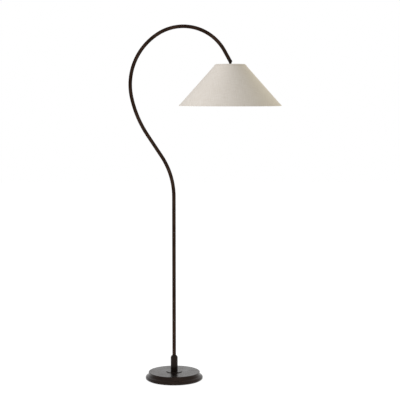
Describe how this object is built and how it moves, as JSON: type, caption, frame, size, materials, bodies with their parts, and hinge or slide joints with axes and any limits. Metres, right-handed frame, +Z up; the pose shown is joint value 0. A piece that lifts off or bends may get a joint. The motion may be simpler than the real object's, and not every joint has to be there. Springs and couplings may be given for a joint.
{
  "type": "bridge floor lamp",
  "caption": "Floor lamp with a heavy round base and a slim pole bent into a crook, from which a linen cone shade hangs on a friction swivel.",
  "frame": {"origin": "centre of the base's underside, on the floor", "axes": "+Z up along the straight pole; the crook bends in the XZ plane with the shade towards +X; -Y is the side that the switch's knob faces"},
  "size_m": [0.6806, 0.4594, 1.5898],
  "materials": {
    "bronze_lacquer_cast": "dark bronze gloss lacquer over a ground casting",
    "bronze_lacquer": "dark bronze gloss lacquer",
    "bronze_tube": "dark bronze satin lacquer on steel tube",
    "felt": "pressed felt",
    "black_plastic": "moulded, semi-gloss",
    "black_pvc": "extruded PVC",
    "brass": "satin, lacquered",
    "zinc_steel": "zinc plated",
    "black_steel": "black oxide",
    "zinc_wire": "bright plated wire",
    "fibre": "vulcanised fibre",
    "styrene": "smooth white styrene sheet",
    "linen": "plain-woven linen, laminated",
    "linen_trim": "folded linen tape",
    "paper_sleeve": "insulating paperboard",
    "brown_plastic": "moulded phenolic",
    "frosted_glass": "inside frosted",
    "bulb_metal": "rolled, satin",
    "bulb_glassy_black": "fused black insulator"
  },
  "bodies": {
    "stand": {"base_casting": "bronze_lacquer_cast", "base_felt": "felt", "check_ring": "bronze_lacquer", "cord_bushing": "black_plastic", "stem_nipple": "brass", "base_washer": "zinc_steel", "base_lockwasher": "zinc_steel", "base_locknut": "brass", "pole_coupling": "bronze_lacquer", "coupling_set_screw": "black_steel", "lower_pole": "bronze_tube", "pole_joiner": "zinc_steel", "crook_tube": "bronze_tube", "supply_lead": "black_pvc", "swivel_upper": "bronze_lacquer", "swivel_friction_ring": "fibre", "swivel_screw": "bronze_lacquer", "swivel_cap_nut": "bronze_lacquer"},
    "head": {"swivel_lower": "bronze_lacquer", "shade_ring_nut": "bronze_lacquer", "shade_fitter": "zinc_wire", "shade_bottom_ring": "zinc_wire", "shade_liner": "styrene", "shade_fabric": "linen", "shade_top_trim": "linen_trim", "shade_bottom_trim": "linen_trim", "holder_cap": "brass", "holder_shell": "brass", "holder_sleeve": "paper_sleeve", "holder_body": "brown_plastic", "holder_screw_shell": "brass", "holder_contact": "brass", "terminal_screws": "brass", "holder_conductors": "black_pvc", "bulb_glass": "frosted_glass", "bulb_cap": "bulb_metal", "bulb_insulator": "bulb_glassy_black", "bulb_contact": "bulb_metal"},
    "switch_key": {"switch_shaft": "brass", "switch_knob": "black_plastic"}
  },
  "joints": [
    {"name": "head_tilt", "type": "hinge", "parent": "stand", "child": "head", "pos_m": [0.25047, 0, 1.42836], "axis": [0, 1, 0], "range_deg": [-50, 35]},
    {"name": "switch_turn", "type": "hinge", "parent": "head", "child": "switch_key", "pos_m": [0.25047, -0.02, 1.37586], "axis": [0, -1, 0], "continuous": true}
  ]
}
